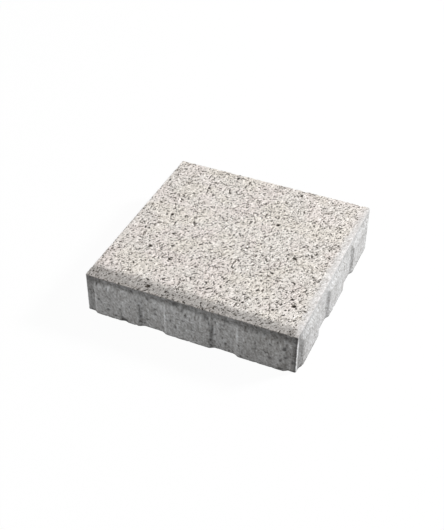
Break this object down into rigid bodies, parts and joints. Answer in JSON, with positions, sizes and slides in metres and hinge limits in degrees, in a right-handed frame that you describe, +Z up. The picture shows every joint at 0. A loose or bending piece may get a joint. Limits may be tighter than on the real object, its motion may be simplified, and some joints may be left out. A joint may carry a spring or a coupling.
{
  "type": "concrete paving stone",
  "caption": "Square cast concrete paving stone with a rough pale wearing face, rolled margins and rows of spacer lugs on all four sides.",
  "frame": {"origin": "centre of the bed face, on the surface that the stone lies on", "axes": "+Z up from the bed face to the wearing face, +X and +Y square to two neighbouring sides"},
  "size_m": [0.3, 0.3, 0.06],
  "materials": {
    "concrete": "pale rough textured wearing face, plain grey cast sides"
  },
  "bodies": {
    "root": {"paving_stone": "concrete"}
  },
  "joints": []
}
